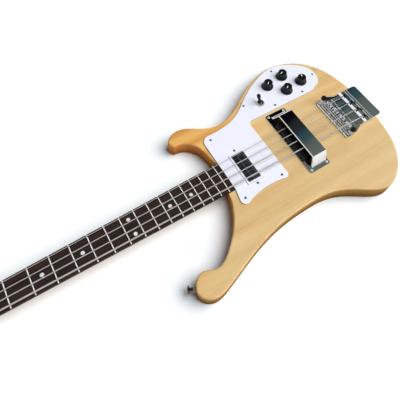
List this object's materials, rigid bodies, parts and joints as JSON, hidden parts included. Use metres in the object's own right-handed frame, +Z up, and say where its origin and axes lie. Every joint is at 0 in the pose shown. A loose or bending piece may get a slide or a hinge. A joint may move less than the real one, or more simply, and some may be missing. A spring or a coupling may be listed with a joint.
{
  "type": "electric bass guitar",
  "caption": "Electric bass guitar with a two-horned solid body, glued-in neck, covered bridge pickup, tray-shaped tailpiece with sliding saddles, tuning machines, knobs and toggle.",
  "frame": {"origin": "on the back of the body, on the centreline, one scale length from the nut", "axes": "+Z up through the body's face, the neck runs towards -X, +Y towards the treble side"},
  "size_m": [1.0964, 0.3337, 0.0579],
  "materials": {
    "body_wood": "clear gloss lacquer",
    "neck_wood": "clear gloss lacquer",
    "board_wood": "satin lacquer",
    "fret_metal": "polished",
    "pearl": "gloss",
    "guard_white": "gloss",
    "pickup_black": "satin",
    "black_plastic": "gloss",
    "chrome": "mirror",
    "steel": "satin",
    "string_steel": "round-wound",
    "foam": "matt"
  },
  "bodies": {
    "bass": {"body": "body_wood", "neck": "neck_wood", "truss_rod": "steel", "truss_rod_cover": "guard_white", "truss_rod_cover_screws": "steel", "fretboard": "board_wood", "frets": "fret_metal", "position_dots": "pearl", "nut": "black_plastic", "pickguard": "guard_white", "pickguard_screws": "steel", "neck_pickup": "pickup_black", "neck_pickup_bezel": "guard_white", "bridge_pickup_plate": "chrome", "bridge_pickup": "pickup_black", "bridge_pickup_cover": "chrome", "bridge_pickup_screws": "steel", "tailpiece": "chrome", "tailpiece_screws": "steel", "bridge_base": "chrome", "bridge_height_screws": "steel", "control_pots": "steel", "toggle_frame": "steel", "toggle_nut": "chrome", "output_jack": "chrome", "jack_ferrule": "chrome", "strap_buttons": "chrome", "strap_button_screws": "steel", "tuner_housings": "chrome", "tuner_bushings": "chrome", "tuner_screws": "steel", "string_e": "string_steel", "string_a": "string_steel", "string_d": "string_steel", "string_g": "string_steel"},
    "mute": {"mute_bar": "steel", "mute_pad": "foam"},
    "toggle": {"toggle_lever": "black_plastic"},
    "knob_1": {"knob_1": "black_plastic"},
    "knob_2": {"knob_2": "black_plastic"},
    "knob_3": {"knob_3": "black_plastic"},
    "knob_4": {"knob_4": "black_plastic"},
    "saddle_e": {"saddle_e": "chrome"},
    "intonation_screw_e": {"intonation_screw_e": "steel"},
    "saddle_a": {"saddle_a": "chrome"},
    "intonation_screw_a": {"intonation_screw_a": "steel"},
    "saddle_d": {"saddle_d": "chrome"},
    "intonation_screw_d": {"intonation_screw_d": "steel"},
    "saddle_g": {"saddle_g": "chrome"},
    "intonation_screw_g": {"intonation_screw_g": "steel"},
    "mute_thumbscrew_bass": {"mute_thumbscrew_bass": "chrome"},
    "mute_thumbscrew_treble": {"mute_thumbscrew_treble": "chrome"},
    "tuner_button_e": {"tuner_button_e": "chrome"},
    "tuner_post_e": {"tuner_post_e": "chrome"},
    "tuner_button_a": {"tuner_button_a": "chrome"},
    "tuner_post_a": {"tuner_post_a": "chrome"},
    "tuner_button_d": {"tuner_button_d": "chrome"},
    "tuner_post_d": {"tuner_post_d": "chrome"},
    "tuner_button_g": {"tuner_button_g": "chrome"},
    "tuner_post_g": {"tuner_post_g": "chrome"}
  },
  "joints": [
    {"name": "knob_1_turn", "type": "hinge", "parent": "bass", "child": "knob_1", "pos_m": [-0.072, 0.1295, 0.0343], "axis": [0, 0, 1], "range_deg": [-150, 150]},
    {"name": "knob_2_turn", "type": "hinge", "parent": "bass", "child": "knob_2", "pos_m": [-0.031, 0.1365, 0.0343], "axis": [0, 0, 1], "range_deg": [-150, 150]},
    {"name": "knob_3_turn", "type": "hinge", "parent": "bass", "child": "knob_3", "pos_m": [-0.0035, 0.107, 0.0343], "axis": [0, 0, 1], "range_deg": [-150, 150]},
    {"name": "knob_4_turn", "type": "hinge", "parent": "bass", "child": "knob_4", "pos_m": [-0.0435, 0.102, 0.0343], "axis": [0, 0, 1], "range_deg": [-150, 150]},
    {"name": "toggle_swing", "type": "hinge", "parent": "bass", "child": "toggle", "pos_m": [-0.109, 0.102, 0.033], "axis": [0.866, 0.5, 0], "range_deg": [0, 36]},
    {"name": "saddle_e_slide", "type": "slide", "parent": "bass", "child": "saddle_e", "axis": [1, 0, 0], "range_m": [-0.0012, 0.0052]},
    {"name": "intonation_screw_e_turn", "type": "hinge", "parent": "bass", "child": "intonation_screw_e", "pos_m": [0.01, -0.02737, 0.0405], "axis": [1, 0, 0], "range_deg": [-690, 2955]},
    {"name": "saddle_a_slide", "type": "slide", "parent": "bass", "child": "saddle_a", "axis": [1, 0, 0], "range_m": [-0.0012, 0.0052]},
    {"name": "intonation_screw_a_turn", "type": "hinge", "parent": "bass", "child": "intonation_screw_a", "pos_m": [0.01, -0.00912, 0.0405], "axis": [1, 0, 0], "range_deg": [-690, 2955]},
    {"name": "saddle_d_slide", "type": "slide", "parent": "bass", "child": "saddle_d", "axis": [1, 0, 0], "range_m": [-0.0012, 0.0052]},
    {"name": "intonation_screw_d_turn", "type": "hinge", "parent": "bass", "child": "intonation_screw_d", "pos_m": [0.01, 0.00912, 0.0405], "axis": [1, 0, 0], "range_deg": [-690, 2955]},
    {"name": "saddle_g_slide", "type": "slide", "parent": "bass", "child": "saddle_g", "axis": [1, 0, 0], "range_m": [-0.0012, 0.0052]},
    {"name": "intonation_screw_g_turn", "type": "hinge", "parent": "bass", "child": "intonation_screw_g", "pos_m": [0.01, 0.02737, 0.0405], "axis": [1, 0, 0], "range_deg": [-690, 2955]},
    {"name": "mute_rise", "type": "slide", "parent": "bass", "child": "mute", "axis": [0, 0, 1], "range_m": [0, 0.0018]},
    {"name": "mute_thumbscrew_bass_turn", "type": "hinge", "parent": "bass", "child": "mute_thumbscrew_bass", "pos_m": [0.0001, -0.0425, 0.032], "axis": [0, 0, 1], "range_deg": [0, 820]},
    {"name": "mute_thumbscrew_treble_turn", "type": "hinge", "parent": "bass", "child": "mute_thumbscrew_treble", "pos_m": [0.0001, 0.0425, 0.032], "axis": [0, 0, 1], "range_deg": [0, 820]},
    {"name": "tuner_button_e_turn", "type": "hinge", "parent": "bass", "child": "tuner_button_e", "pos_m": [-0.893, -0.025, 0.009], "axis": [0, -1, 0], "continuous": true},
    {"name": "tuner_post_e_turn", "type": "hinge", "parent": "bass", "child": "tuner_post_e", "pos_m": [-0.893, -0.025, 0.0275], "axis": [0, 0, 1], "continuous": true},
    {"name": "tuner_button_a_turn", "type": "hinge", "parent": "bass", "child": "tuner_button_a", "pos_m": [-0.963, -0.021, 0.009], "axis": [0, -1, 0], "continuous": true},
    {"name": "tuner_post_a_turn", "type": "hinge", "parent": "bass", "child": "tuner_post_a", "pos_m": [-0.963, -0.021, 0.0275], "axis": [0, 0, 1], "continuous": true},
    {"name": "tuner_button_d_turn", "type": "hinge", "parent": "bass", "child": "tuner_button_d", "pos_m": [-0.963, 0.021, 0.009], "axis": [0, 1, 0], "continuous": true},
    {"name": "tuner_post_d_turn", "type": "hinge", "parent": "bass", "child": "tuner_post_d", "pos_m": [-0.963, 0.021, 0.0275], "axis": [0, 0, 1], "continuous": true},
    {"name": "tuner_button_g_turn", "type": "hinge", "parent": "bass", "child": "tuner_button_g", "pos_m": [-0.893, 0.025, 0.009], "axis": [0, 1, 0], "continuous": true},
    {"name": "tuner_post_g_turn", "type": "hinge", "parent": "bass", "child": "tuner_post_g", "pos_m": [-0.893, 0.025, 0.0275], "axis": [0, 0, 1], "continuous": true}
  ],
  "couplings": [
    {"joint": "intonation_screw_e_turn", "follows": "saddle_e_slide", "rad_per_m": 9894.8},
    {"joint": "intonation_screw_a_turn", "follows": "saddle_a_slide", "rad_per_m": 9894.8},
    {"joint": "intonation_screw_d_turn", "follows": "saddle_d_slide", "rad_per_m": 9894.8},
    {"joint": "intonation_screw_g_turn", "follows": "saddle_g_slide", "rad_per_m": 9894.8},
    {"joint": "mute_thumbscrew_bass_turn", "follows": "mute_rise", "rad_per_m": 7913.3},
    {"joint": "mute_thumbscrew_treble_turn", "follows": "mute_rise", "rad_per_m": 7913.3},
    {"joint": "tuner_post_e_turn", "follows": "tuner_button_e_turn", "ratio": 0.05},
    {"joint": "tuner_post_a_turn", "follows": "tuner_button_a_turn", "ratio": 0.05},
    {"joint": "tuner_post_d_turn", "follows": "tuner_button_d_turn", "ratio": 0.05},
    {"joint": "tuner_post_g_turn", "follows": "tuner_button_g_turn", "ratio": 0.05}
  ]
}
